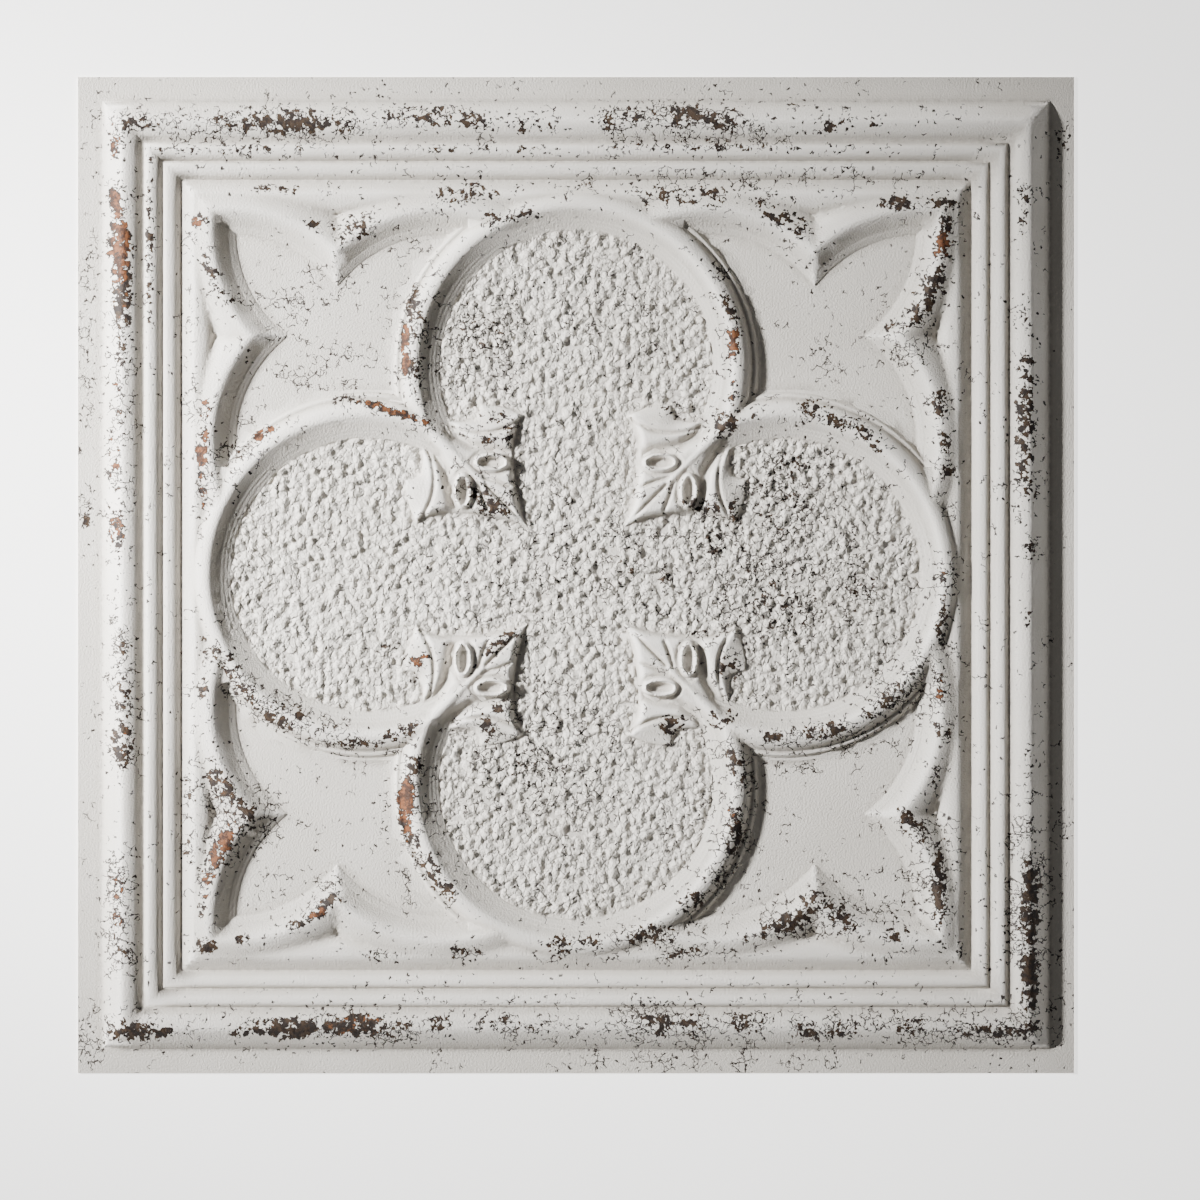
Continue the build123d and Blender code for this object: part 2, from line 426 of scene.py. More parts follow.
@dataclass
class Leaf:
    """Leaf end on a diagonal, in lengths along it from the tile's middle and across it.

    A groove or bead is given as its height, its width and how far out it lies from its line; the
    hollow of an eyelet as its depth, the softness of its side and how far out that side lies.
    The valley gets deeper by a height, from a length along the diagonal and over another.
    """

    tip: tuple = (41.4, 0.0)
    waist: tuple = (74.3, 21.6)
    lobe: tuple = (90.3, 46.0)
    shoulder: tuple = (113.6, 32.0)
    notch: tuple = (109.6, 23.6)
    root: tuple = (120.4, 11.4)
    level: float = 8.9
    edge_width: float = 5.2
    edge_power: float = 1.7
    outside_slope: float = 1.6
    eyelet: tuple = (84.2, 12.2)
    eyelet_axes: tuple = (11.2, 6.2)
    stem: tuple = (134.0, 79.0)
    stem_level: float = 9.9
    stem_rise: float = 1.4
    stem_widths: tuple = (2.1, 2.6)
    stem_past: tuple = (2.0, 5.0)
    foot_level: float = 4.5
    fold_level: float = 5.3
    valley_groove: tuple = (3.4, 3.7)
    deeper: tuple = (1.5, 92.0, 20.0)
    vein_groove: tuple = (1.9, 1.0)
    side_vein_width: float = 1.1
    fold_groove: tuple = (2.1, 1.15)
    eyelet_bead: tuple = (1.9, 1.7, -2.2)
    eyelet_hollow: tuple = (2.2, 0.9, -5.1)
    eyelet_groove: tuple = (1.5, 1.1, 0.8)
    zone: tuple = (36.0, 140.0, 52.0)

    def __post_init__(self) -> None:
        """Lays out the outline, the fold of the lobe and the valley beside the stem."""
        half = np.concatenate([
            arc_points(self.tip, (58.8, 9.6), self.waist, 26),
            arc_points(self.waist, (84.5, 32.6), self.lobe, 22)[1:],
            arc_points(self.lobe, (103.7, 40.1), self.shoulder, 18)[1:],
            arc_points(self.shoulder, (110.9, 28.4), self.notch, 8)[1:],
            arc_points(self.notch, (114.6, 16.6), self.root, 10)[1:],
        ])
        self.half = half
        self.outline = np.concatenate([half, half[::-1][:-1] * (1.0, -1.0)])
        self.fold = arc_points(self.lobe, (101.0, 20.4), (116.0, 11.0), 30)
        lobe = slice(int(np.hypot(*(half - self.lobe).T).argmin()), len(half))
        self.flank = np.concatenate([half[lobe], self.fold[::-1]])
        self.valley = np.array([(126, 8.4), (112, 8), (100, 10.8), (91, 16.8), (82, 23)])
        self.vein = np.array([(80.0, 0.0), (45.0, 0.0)])
        self.side_vein = np.array([(81.0, 2.2), (74.0, 6.2), (66.0, 9.6)])

    def near(self, a: Array, b: Array) -> Array:
        """True in a box round leaf and stem, outside which neither has to be worked out."""
        return (a > self.zone[0]) & (a < self.zone[1]) & (b < self.zone[2])

    def inward(self, a: Array, b: Array) -> Array:
        """Distance in from the outline, negative outside it."""
        gap = distance_to_path(np.vstack([self.outline, self.outline[:1]]), a, b)
        return np.where(inside_path(self.outline, a, b), gap, -gap)

    def eyelet_distance(self, a: Array, b: Array) -> Array:
        """Distance out from the oval outline of an eyelet, negative inside it.

        With q = (u / A)^2 + (v / B)^2 along its axes, the distance is close to (q - 1) / |grad q|.

        Args:
            a: Lengths along the diagonal.
            b: Lengths across it, not negative.

        Returns:
            Signed distances.
        """
        da, db = a - self.eyelet[0], b - self.eyelet[1]
        along, beside = (db - da) * HALF_ROOT, (da + db) * HALF_ROOT
        long, short = self.eyelet_axes
        steep = 2.0 * np.hypot(along / long**2, beside / short**2)
        return ((along / long) ** 2 + (beside / short) ** 2 - 1.0) / np.maximum(steep, 0.12)

    def height(self, x: Array, y: Array) -> Array:
        """Height of leaf and stem.

        The side rises by 1 - (1 - s)^1.7 over the edge width. The top is level, less Gaussian
        grooves for valley, fold and veins, plus the rolled rims of the eyelets. Outside its fold a
        lobe falls evenly to the outline. The stem is a tapering rounded ridge.

        Args:
            x, y: Coordinates in the first eighth of the tile.

        Returns:
            Heights, far below the tile away from the leaf.
        """
        out = np.full(x.shape, ABSENT)
        a_all, b_all = to_diagonal(x, y)
        near = self.near(a_all, b_all)
        a, b = a_all[near], b_all[near]
        if a.size == 0:
            return out
        inward = self.inward(a, b)
        to_fold = distance_to_path(self.fold, a, b)
        outer = inside_path(self.flank, a, b) & (inward > 0.0)
        valley = bell(distance_to_path(self.valley, a, b), self.valley_groove[1])
        vein = bell(distance_to_path(self.vein, a, b), self.vein_groove[1])
        vein += bell(distance_to_path(self.side_vein, a, b), self.side_vein_width)
        around = self.eyelet_distance(a, b)
        (bead, *bead_at), (groove, *groove_at) = self.eyelet_bead, self.eyelet_groove
        hollow, soft, inside = self.eyelet_hollow
        sunk = 1.0 / (1.0 + np.exp(np.clip((around - inside) / soft, -40.0, 40.0)))
        more, begin, over = self.deeper
        deep = self.valley_groove[0] + more * np.clip((a - begin) / over, 0.0, 1.0)
        top = self.level + 0.6 - deep * valley * (around > -1.0) - self.vein_groove[0] * vein
        top += bead * bell(around, *bead_at) - hollow * sunk - groove * bell(around, *groove_at)
        share = np.clip(inward / self.edge_width, 0.0, 1.0)
        side = self.foot_level + (top - self.foot_level) * (1.0 - (1.0 - share) ** self.edge_power)
        run = np.clip(inward / np.maximum(inward + to_fold, 1e-6), 0.0, 1.0)
        fall = self.fold_level + (self.level + 0.4 - self.fold_level) * run**0.8
        side = np.where(outer, np.minimum(side + 0.6, fall), side)
        fold, fold_width = self.fold_groove
        side = side - fold * bell(to_fold, fold_width) * (inward > 1.0)
        body = np.where(inward > 0.0, side, self.foot_level + self.outside_slope * inward)
        begin, end = self.stem
        taper = np.clip((a - end) / (begin - end), 0.0, 1.0)
        thin, wider = self.stem_widths
        stem = self.stem_level + self.stem_rise * taper - 2.0 * (b / (thin + wider * taper)) ** 2
        here = (a < begin + self.stem_past[0]) & (a > end - self.stem_past[1])
        stem = np.where(here, stem - np.maximum(end - a, 0.0), ABSENT)
        out[near] = higher(body, np.maximum(stem, ABSENT), Blend.SOFT)
        return out


@dataclass
class Pebbles:
    """Pebbled ground of the panel: packed low domes, 3 to 5 mm across."""

    pitch: float = 4.6
    dome_height: float = 3.1
    sunk: float = 0.45
    cells: int = 64
    seed: int = 11

    def __post_init__(self) -> None:
        """Scatters the middles and sizes of the domes over a wrapped grid of cells."""
        rng = np.random.default_rng(self.seed)
        self.shift = rng.uniform(0.12, 0.88, (self.cells, self.cells, 2))
        self.size = rng.uniform(0.62, 1.0, (self.cells, self.cells))
        self.rise = rng.uniform(0.35, 1.0, (self.cells, self.cells))

    def height(self, x: Array, y: Array) -> Array:
        """Height of the nearest high dome: rise * (1 - (d / size)^2), the most over nine cells.

        Args:
            x, y: Coordinates over the tile.

        Returns:
            Heights from about 0 to the height of a dome.
        """
        u, v = x / self.pitch, y / self.pitch
        column, row = np.floor(u).astype(int), np.floor(v).astype(int)
        best = np.zeros(x.shape)
        for down in (-1, 0, 1):
            for right in (-1, 0, 1):
                i, j = (column + right) % self.cells, (row + down) % self.cells
                du = column + right + self.shift[i, j, 0] - u
                dv = row + down + self.shift[i, j, 1] - v
                share = (du**2 + dv**2) / self.size[i, j] ** 2
                best = np.maximum(best, self.rise[i, j] * np.clip(1.0 - share, 0.0, 1.0))
        return best * self.dome_height


@dataclass(frozen=True)
class Rub:
    """One rubbed place: middle, half length and width in mm, turn in degrees, shares in per cent.

    The amount says how much of the white is gone there, and copper how much copper shows.
    """

    x: float
    y: float
    long: float
    short: float
    turn: float = 0.0
    amount: int = 80
    copper: int = 0


@dataclass
class Wear:
    """Where the white coat is rubbed through, listed along the mouldings and leaves.

    Each row holds the values of one Rub, and those at its end may be left out.
    """

    outer_roll: tuple = (
        (-265, 273, 11, 5), (-234, 276, 30, 4, 0, 55), (-202, 274, 24, 7, 0, 70),
        (-168, 274, 27, 9, 0, 85), (-140, 271, 14, 5, 0, 60), (-86, 277, 46, 8, 0, 62),
        (-84, 278, 8, 7, 0, 85), (-60, 273, 9, 6, 0, 90), (-31, 271, 16, 5, 0, 60),
        (20, 274, 6, 8, 0, 90), (33, 277, 12, 7, 0, 75), (66, 278, 18, 8, 0, 85),
        (82, 276, 14, 7, 0, 85), (94, 275, 9, 10, 0, 75), (154, 271, 6, 4, 0, 80),
        (137, 284, 4, 4, 0, 80), (180, 273, 3, 6, 0, 80), (-279, 263, 14, 5, 90, 65, 80),
        (-279, 226, 11, 4.5, 90, 95, 100), (-276, 199, 25, 7.5, 90, 110, 90),
        (-274, 171, 20, 7, 90, 95, 35), (-275, 135, 9, 5, 90, 60), (-276, 113, 9, 4, 90, 55, 80),
        (-277, 95, 9, 4, 90, 55, 80), (-279, 71, 22, 4.5, 90, 70, 90),
        (-278, 27, 13, 6, 90, 75, 60), (-280, -22, 4, 3, 90, 70, 100), (-274, -44, 8, 6, 90, 60),
        (-274, -75, 14, 7, 90, 72, 20), (-274, -102, 15, 8, 90, 95, 35),
        (-278, -185, 14, 6, 90, 65, 70), (-277, -208, 13, 6, 90, 68, 60),
        (-274, -228, 8, 7, 90, 70), (-264, -276, 21, 6, 0, 100), (-201, -276, 11, 4, 0, 85),
        (-169, -274, 30, 7, 0, 98, 20), (-132, -272, 23, 8, 0, 105, 45), (-107, -273, 10, 9, 0, 72),
        (-82, -271, 5, 8, 0, 80), (-46, -271, 14, 6, 0, 50), (-26, -274, 14, 6, 0, 50),
        (50, -270, 11, 11, 0, 80), (72, -271, 7, 11, 0, 85), (103, -270, 15, 8, 0, 60),
        (143, -276, 14, 6, 0, 65), (166, -274, 13, 7, 0, 65), (203, -274, 9, 7, 0, 85),
        (256, -276, 27, 4.5, 0, 90), (274, -273, 11, 5, 50, 95), (270, 227, 12, 4, 90, 80),
        (270, 212, 7, 3.5, 90, 70), (269, 160, 5, 4, 90, 75), (272, 128, 6, 5, 90, 75),
        (273, 112, 12, 5, 90, 85), (271, 87, 34, 6.5, 90, 90, 10), (274, 52, 8, 7, 90, 65),
        (274, 17, 10, 5, 90, 65), (273, -24, 8, 4, 90, 75), (274, -114, 10, 4, 90, 50),
        (275, -187, 18, 7, 90, 95, 15), (274, -207, 20, 7, 90, 95, 10),
        (274, -244, 25, 6, 90, 105, 10),
    )
    beads: tuple = (
        (-206, 257, 52, 4, 0, 50), (-71, 258, 62, 4, 0, 42), (78, 260, 66, 4, 0, 50),
        (-258, 200, 52, 3.5, 90, 60, 20), (-180, 234, 18, 4, 0, 62), (-234, -130, 8, 4, 90, 70, 30),
        (-234, -167, 12, 3.5, 90, 62), (-122, -231, 8, 4, 0, 70), (-67, -228, 12, 6, 0, 65),
        (-8, -224, 12, 8, 0, 60), (64, -229, 14, 2.5, 20, 75), (295, 261, 6, 3, 0, 85),
        (-296, 34, 3, 2.5, 0, 95), (-300, 179, 4, 3, 90, 80), (-12, 236, 60, 3, 0, 40),
    )
    rings: tuple = (
        (-60, 231, 13, 6, -15, 85), (-74, 229, 16, 7, 0, 60), (-35, 219, 14, 3.5, 12, 78),
        (-51, 215, 8, 5, 20, 70), (-98, 163, 13, 5, 82, 90), (-103, 135, 18, 3.2, 90, 105, 100),
        (-95.5, 151, 14, 4.5, 85, 75), (-97, 121, 13, 5, 97, 75), (-110, 99, 27, 3, -18, 105, 70),
        (-138, 106, 9, 2.5, -8, 70), (-189, 85, 11, 4, 32, 100, 90), (-203, 74, 13, 7, 45, 50),
        (87, 181, 10, 4, -55, 70), (93, 160, 12, 4.5, -70, 72, 20), (95, 142, 11, 4, 88, 100, 100),
        (93, 121, 18, 3, 95, 65, 70), (89, 91, 10, 9, 0, 85), (142, 102, 9, 6, 0, 62),
        (160, 92, 16, 5, -10, 60), (174, 87, 7, 4, -60, 75), (181, 78, 9, 4, -40, 65),
        (-211, -52, 14, 8, -60, 65), (-198, -75, 13, 7, -45, 62), (-182, -87, 16, 5, -28, 85, 20),
        (-171, -82, 10, 5, -20, 72), (-147, -91, 6, 4, 0, 70), (-134, -101, 18, 4.5, 0, 88, 20),
        (-106, -95, 14, 5, 22, 72), (-98, -115, 6, 5, 80, 85), (-103, -138, 18, 6, 90, 105, 95),
        (-99, -161, 12, 5, -70, 90, 40), (-87, -180, 18, 6, -55, 95, 15),
        (-78, -189, 8, 6, -40, 75), (97, -114, 14, 6, -65, 75, 20), (96, -145, 9, 5, 90, 85, 50),
        (95, -159, 12, 6, 80, 85), (86, -183, 6, 5, 60, 75), (70, -197, 8, 8, 45, 82),
        (88, -87, 9, 8, 0, 85, 20), (118, -98, 7, 4, 0, 82), (143, -95, 11, 5, 8, 72, 20),
        (158, -93, 9, 5, 15, 75), (190, -76, 22, 7, 40, 55), (47, -217, 20, 6, 10, 82),
        (11, -220, 12, 5, 0, 68),
    )
    tracery: tuple = (
        (-226, 79, 15, 4.5, 90, 100, 90), (-225, 99, 9, 4, 90, 80, 90),
        (-226, 51, 17, 3, 90, 85, 70), (-228, 213, 7, 5, 0, 85, 70), (-221, 185, 14, 4.5, -65, 82),
        (-212, 169, 7, 4, -50, 80), (-136, 211, 18, 9, 20, 62), (-159, 213, 5, 4, -30, 85),
        (72, 229, 45, 8, 0, 60), (119, 220, 20, 9, -25, 62), (132, 212, 12, 6, -35, 82, 20),
        (195, 225, 12, 5, 0, 85), (219, 225, 14, 4, 0, 88), (223, 212, 9, 6, 90, 75),
        (222, 200, 11, 5, 85, 100, 100), (216, 173, 15, 7, 62, 100), (208, 160, 12, 6, 55, 90),
        (193, 150, 10, 4, 0, 70), (220, 105, 9, 5, 80, 80), (223, 78, 8, 4, 90, 75),
        (225, 63, 6, 5, 0, 90), (-225, -46, 12, 4, 90, 62), (-225, -70, 9, 4, 90, 72, 30),
        (-214, -130, 20, 6, -62, 92, 30), (-202, -144, 9, 8, 0, 90),
        (-213, -163, 17, 6, 62, 105, 85), (-222, -181, 14, 5, 80, 90, 70),
        (-225, -198, 10, 5, 90, 75, 40), (-223, -224, 7, 5, 0, 95), (-202, -221, 5, 4, 0, 80, 30),
        (-155, -203, 9, 5, 30, 100, 70), (-167, -210, 7, 4, 25, 80), (-147, -195, 5, 4, 0, 90),
        (204, -152, 12, 6, -55, 85), (219.6, -187, 26, 4.5, 90, 95, 10), (195, -218, 6, 6, 0, 85),
        (160, -207, 12, 6, -50, 75, 20), (146, -196, 11, 7, 0, 80), (128, -211, 24, 6, 22, 90, 10),
        (107, -219, 6, 5, 0, 80), (220, -67, 14, 4, 90, 60, 80), (222, -93, 8, 6, 90, 82, 20),
        (218, -120, 7, 4, 80, 65), (219, -1, 6, 5, 0, 80, 40), (221, -28, 16, 5, 90, 62),
    )
    leaves: tuple = (
        (-49, 95, 12, 4, 0, 72), (-53, 82, 5, 3, 0, 90, 30), (-41, 87, 12, 4, 80, 75),
        (-53, 47, 15, 8, -40, 82), (-47, 41, 8, 3.5, -25, 90), (78, 42, 12, 5, -12, 90, 20),
        (95, 38, 8, 4, 90, 72), (58, 99, 8, 6, 20, 72), (-94, -52, 7, 5, 20, 95, 90),
        (-46, -41, 12, 4, 42, 88, 20), (-54, -91, 9, 5, -60, 90, 20), (-48, -81, 5, 4, 0, 70),
        (58, -91, 9, 7, 10, 80), (93, -56, 10, 8, 90, 70), (74, -36, 8, 3, 0, 75),
        (-60, 143, 18, 15, 0, 50), (123, 48, 22, 22, 0, 50), (134, 66, 11, 9, 0, 58),
        (84, 19, 8, 8, 0, 62), (109, 5, 9, 5, 0, 62), (123, -18, 26, 18, 0, 52),
        (174, -12, 14, 18, 0, 48), (54, -1, 6, 6, 0, 62), (-112, -43, 8, 3, 0, 70, 30),
        (-26, -114, 24, 12, 0, 42), (28, 6, 20, 12, 0, 42),
    )
    crazes: tuple = (
        (-148, 125, 34, 20, -10), (-174, 157, 24, 18, -30), (-156, 173, 24, 14),
        (-276, 110, 75, 12, 90), (-276, -208, 48, 14, 90), (-276, -60, 40, 13, 90),
        (-297, 120, 90, 8, 90, 70), (-234, 120, 90, 8, 90, 50), (-207, -146, 40, 30, 0, 80),
        (-172, -186, 30, 10, 0, 70), (-180, -80, 60, 14, -30, 90), (200, 138, 26, 22, -20),
        (152, 131, 20, 16, 0, 70), (120, 240, 110, 7, 0, 80), (72, 272, 60, 16, 0, 80),
        (-200, 272, 95, 14, 0, 80), (27, 152, 36, 26, 0, 80), (123, 10, 60, 60, 0, 90),
        (-20, -110, 50, 60, 0, 80), (0, 0, 90, 60, 0, 60), (-50, 140, 34, 36, 0, 80),
        (205, -62, 30, 26, 45, 100), (88, -150, 26, 60, 0, 80), (212, -180, 36, 22, 80, 90),
        (150, -208, 60, 14, 0, 80), (274, -190, 70, 16, 90, 90), (60, -274, 90, 16, 0, 90),
        (200, -272, 100, 14, 0, 90), (60, -295, 90, 7, 0, 80), (-296, -280, 14, 40, 0, 70),
        (-110, -272, 90, 12, 0, 60), (150, -100, 60, 16, 10, 90), (60, -222, 60, 12, 5, 70),
        (120, -150, 24, 18, 0, 40), (222, 30, 90, 9, 90, 60), (-100, 150, 30, 60, 0, 60),
        (-210, 70, 40, 16, 50, 80), (-98, -150, 18, 50, 0, 70), (-50, 60, 30, 40, 0, 60),
    )

    @staticmethod
    def spread(rows: tuple, x: Array, y: Array, copper: bool = False) -> Array:
        """Field of a set of rubbed places: the most of amount * exp(-0.7 d^4) and a wide halo.

        The distance d is 1 on the ellipse of the half length and the half width.

        Args:
            rows: Values of the places.
            x, y: Coordinates over the tile.
            copper: True for the share of copper instead of the amount of wear.

        Returns:
            The field.
        """
        out = np.zeros(x.shape)
        for rub in (Rub(*row) for row in rows):
            cos, sin = math.cos(math.radians(rub.turn)), math.sin(math.radians(rub.turn))
            dx, dy = x - rub.x, y - rub.y
            along, beside = (dx * cos + dy * sin) / rub.long, (dy * cos - dx * sin) / rub.short
            square = along**2 + beside**2
            core = np.exp(-0.7 * np.minimum(square, 6.0) ** 2)
            halo = 0.42 * np.exp(-square / 4.5)
            share = rub.copper if copper else rub.amount
            out = np.maximum(out, share / 100 * (core if copper else np.maximum(core, halo)))
        return out

    def fields(self, x: Array, y: Array) -> dict[str, Array]:
        """Fields that the paint reads: worn, copper and crazed."""
        rows = self.outer_roll + self.beads + self.rings + self.tracery + self.leaves
        worn, copper = self.spread(rows, x, y), self.spread(rows, x, y, copper=True)
        return {"worn": worn, "copper": copper, "crazed": self.spread(self.crazes, x, y)}


class Zone(Enum):
    """Parts of an eighth of the tile that get loose vertices, the most important first."""

    LEAF = "on the leaf"
    PANEL = "inside the rings"
    SEAM = "where two mouldings meet"
    FIELD = "everywhere but leaf and panel"


@dataclass(frozen=True)
class Grid:
    """How finely one side of the sheet is laid out, as distances between its vertices.

    The tolerance is the largest height error of a straight piece across a moulding, and the two
    widest values are the widest pieces across the rim and the frame. The step along a ring or a
    tracery arc comes next to it, and those that start with on_ are steps along the half-round,
    the other rows of the frame, its inner edge, the level of the cusps, the diagonal and the
    axis. Each zone has a pitch and the gap that its vertices keep from others.
    """

    tolerance: float
    along: float
    rim_widest: float
    frame_widest: float
    on_roll: float
    on_frame: float
    on_inner: float
    on_cusp: float
    on_mitre: float
    on_axis: float
    leaf_insets: tuple[float, ...]
    zones: dict[Zone, tuple[float, float]]


GROUND_PITCH = 1.58
FACE = Grid(
    tolerance=0.07, along=3.7, rim_widest=2.6, frame_widest=2.4, on_roll=6.0, on_frame=16.0,
    on_inner=3.4, on_cusp=0.9, on_mitre=1.2, on_axis=GROUND_PITCH,
    leaf_insets=(0.0, 0.35, 1.1, 2.3),
    zones={Zone.LEAF: (1.08, 0.5), Zone.PANEL: (GROUND_PITCH, 0.75),
           Zone.SEAM: (1.7, 0.8), Zone.FIELD: (5.0, 2.2)},
)
BACK = Grid(
    tolerance=0.35, along=15.0, rim_widest=UNLIMITED, frame_widest=UNLIMITED, on_roll=32.0,
    on_frame=32.0, on_inner=16.0, on_cusp=5.0, on_mitre=6.0, on_axis=8.0, leaf_insets=(0.0, 2.3),
    zones={Zone.LEAF: (5.0, 2.0), Zone.PANEL: (11.0, 4.0),
           Zone.SEAM: (5.0, 2.5), Zone.FIELD: (12.0, 5.0)},
)


@dataclass
class TileSheet:
    """The formed sheet: its height function, the layout of its vertices and its mesh.

    Rows start a little before the foot of a moulding and end past it, keep a margin from the
    edges of the eighth, and are cut where another form covers them. A seam is where the second
    highest form lies less than a drop under the highest. The paint's crest and hollow are given
    as how far round a point the sheet is compared and the height that counts as full.
    """

    frame: FrameMouldings = field(default_factory=FrameMouldings)
    ring: Ring = field(default_factory=Ring)
    tracery: Tracery = field(default_factory=Tracery)
    leaf: Leaf = field(default_factory=Leaf)
    pebbles: Pebbles = field(default_factory=Pebbles)
    wear: Wear = field(default_factory=Wear)
    before: float = 0.8
    past: float = 1.2
    margin: float = 0.3
    end_gap: float = 0.5
    covered: float = 0.25
    touch: float = 0.01
    frame_share: float = 0.8
    leaf_gap: float = 0.4
    panel_gap: float = 0.6
    seam_drop: float = 1.0
    seam_level: float = 3.4
    back_shares: tuple = (0.45, 0.8, 0.99)
    rim_reach: float = 23.0
    roll_reach: float = 8.5
    fade: float = 1.2
    crest: tuple = (5.0, 2.2)
    # hollow measures the creases that get painted shade; crest also sets a painted highlight.
    hollow: tuple = (2.5, 0.7)
    sharp: float = 60.0
    block: int = 1500
    cusp_span: tuple = (174.0, 224.0)
    on_edge: float = 16.0

    def structure(self, x: Array, y: Array) -> Array:
        """Height of the relief without pebbles, the same in all eight eighths.

        Args:
            x, y: Coordinates over the tile.

        Returns:
            Heights over the plane of the back.
        """
        px, py = folded(x, y)
        ring = self.ring.height(px, py)
        edge = px > self.frame.inner
        hidden = edge | (px < self.ring.centre / 2)
        hidden |= self.ring.radius(px, py) < self.ring.crest_radius
        tracery = np.where(hidden, ABSENT, self.tracery.height(px, py))
        height = higher(ring, self.leaf.height(px, py), Blend.CRISP)
        height = higher(height, tracery, Blend.CRISP)
        frame_height = self.frame.height(px)
        rim = higher(height, frame_height, Blend.SOFT)
        return np.where(edge, np.maximum(frame_height, ring), rim)

    def ground(self, x: Array, y: Array) -> Array:
        """Share of pebbled ground, which fades out at the rings and the leaves.

        Args:
            x, y: Coordinates over the tile.

        Returns:
            1 inside the rings and in the middle, 0 on every moulding.
        """
        px, py = folded(x, y)
        fade = np.clip((self.ring.panel_radius - self.ring.radius(px, py)) / self.fade, 0.0, 1.0)
        panel = np.where(px < self.ring.centre / 2, 1.0, fade)
        a, b = to_diagonal(px, py)
        near = self.leaf.near(a, b) & (panel > 0.0)
        off = np.zeros(x.shape)
        off[near] = np.clip(self.leaf.inward(a[near], b[near]) / self.fade + 1.0, 0.0, 1.0)
        return panel * (1.0 - off)

    def rows(self, grid: Grid) -> list[Array]:
        """Rows of vertices along the mouldings of one eighth, cut where another form is on top.

        Args:
            grid: How finely the side is laid out.

        Returns:
            One (n, 2) array for each unbroken row.
        """
        made = []
        ring, tracery, frame = self.ring, self.tracery, self.frame
        ring_radii = (ring.crest_radius, ring.panel_radius, ring.foot_radius)
        tracery_radii = (tracery.crest, tracery.foot, tracery.outer)
        for form, across, up, sweep, (crest, foot, outer) in (
                (ring, ring.centre, 0.0, math.pi, ring_radii),
                (tracery, tracery.across, tracery.low_centre, math.tau, tracery_radii),
                (tracery, tracery.across, tracery.high_centre, math.tau, tracery_radii)):
            angle = np.linspace(0.0, sweep, int(sweep * crest / grid.along))
            low, high = foot - self.before, outer + self.past
            for radius in form.section.knots(grid.tolerance, low, high, UNLIMITED):
                x, y = across + radius * np.cos(angle), up + radius * np.sin(angle)
                own = (y < tracery.cusp) == (up < tracery.cusp)
                made.append((x, y, np.where(own, form.height(x, y), HIDDEN)))
        start, half = frame.side / 2 - frame.inner, frame.side / 2
        low, high = start + self.before, start + self.rim_reach
        for inset in frame.section.knots(grid.tolerance, low, high, grid.rim_widest):
            x = np.full(int(frame.inner / grid.along), half - inset)
            y = np.linspace(self.end_gap, half - inset - self.end_gap, len(x))
            made.append((x, y, frame.height(x)))
        kept = []
        for x, y, level in made:
            inside = (np.minimum(y, x - y) > self.margin) & (x > ring.centre / 2)
            inside &= x < frame.inner - self.margin
            top = np.full(x.shape, HIDDEN)
            top[inside] = self.structure(x[inside], y[inside])
            kept += unbroken(pairs(x, y), inside & (level > top - self.covered))
        return kept

    def layout(self, grid: Grid) -> tuple[Array, list[Array]]:
        """Vertices and fixed rows of one eighth of the tile.

        Args:
            grid: How finely the side is laid out.

        Returns:
            Loose vertices (n, 2) and the rows whose edges are kept.
        """
        half, inner = self.frame.side / 2, self.frame.inner
        roll = self.frame.flange + self.frame.half_round / 2
        rows = self.rows(grid)
        finer = grid.tolerance * self.frame_share
        for inset in self.frame.section.knots(finer, 0.0, half - inner, grid.frame_widest):
            x = half - inset
            run = grid.on_roll if abs(inset - roll) < self.roll_reach else grid.on_frame
            if abs(x - inner) < 1.0:
                run = grid.on_inner
            elif x > half - self.touch:
                run = self.on_edge
            along = np.linspace(0.0, x, int(x / run) + 1)
            rows.append(pairs(np.full(len(along), x), along))
        across = np.arange(*self.cusp_span, grid.on_cusp)
        mitre = np.append(np.arange(0.0, inner, grid.on_mitre), inner)
        axis = np.append(np.arange(0.0, inner, grid.on_axis), inner)
        rows.append(pairs(across, np.full(len(across), self.tracery.cusp)))
        rows += [pairs(mitre, mitre), pairs(axis, np.zeros(len(axis)))]
        rows += self.leaf_rows(grid.leaf_insets)
        return self.thinned(rows, grid), rows

    def leaf_rows(self, insets: tuple[float, ...]) -> list[Array]:
        """Rows along the foot and the shoulder of a leaf's side.

        Args:
            insets: Distances of the rows in from the leaf's outline.

        Returns:
            One (n, 2) array for each unbroken row.
        """
        leaf = self.leaf
        run = np.diff(leaf.half, axis=0)
        normal = pairs(-run[:, 1], run[:, 0]) / np.hypot(*run.T)[:, None]
        middle = (leaf.half[:-1] + leaf.half[1:]) / 2
        rows = []
        for inset in insets:
            a, b = (middle - normal * inset).T
            good = (b > self.margin) & (a < leaf.root[0] - 1.4)
            good &= np.abs(leaf.inward(a, b) - inset) < 0.12
            rows += unbroken(pairs(a + b, a - b) * HALF_ROOT, good)
        return rows

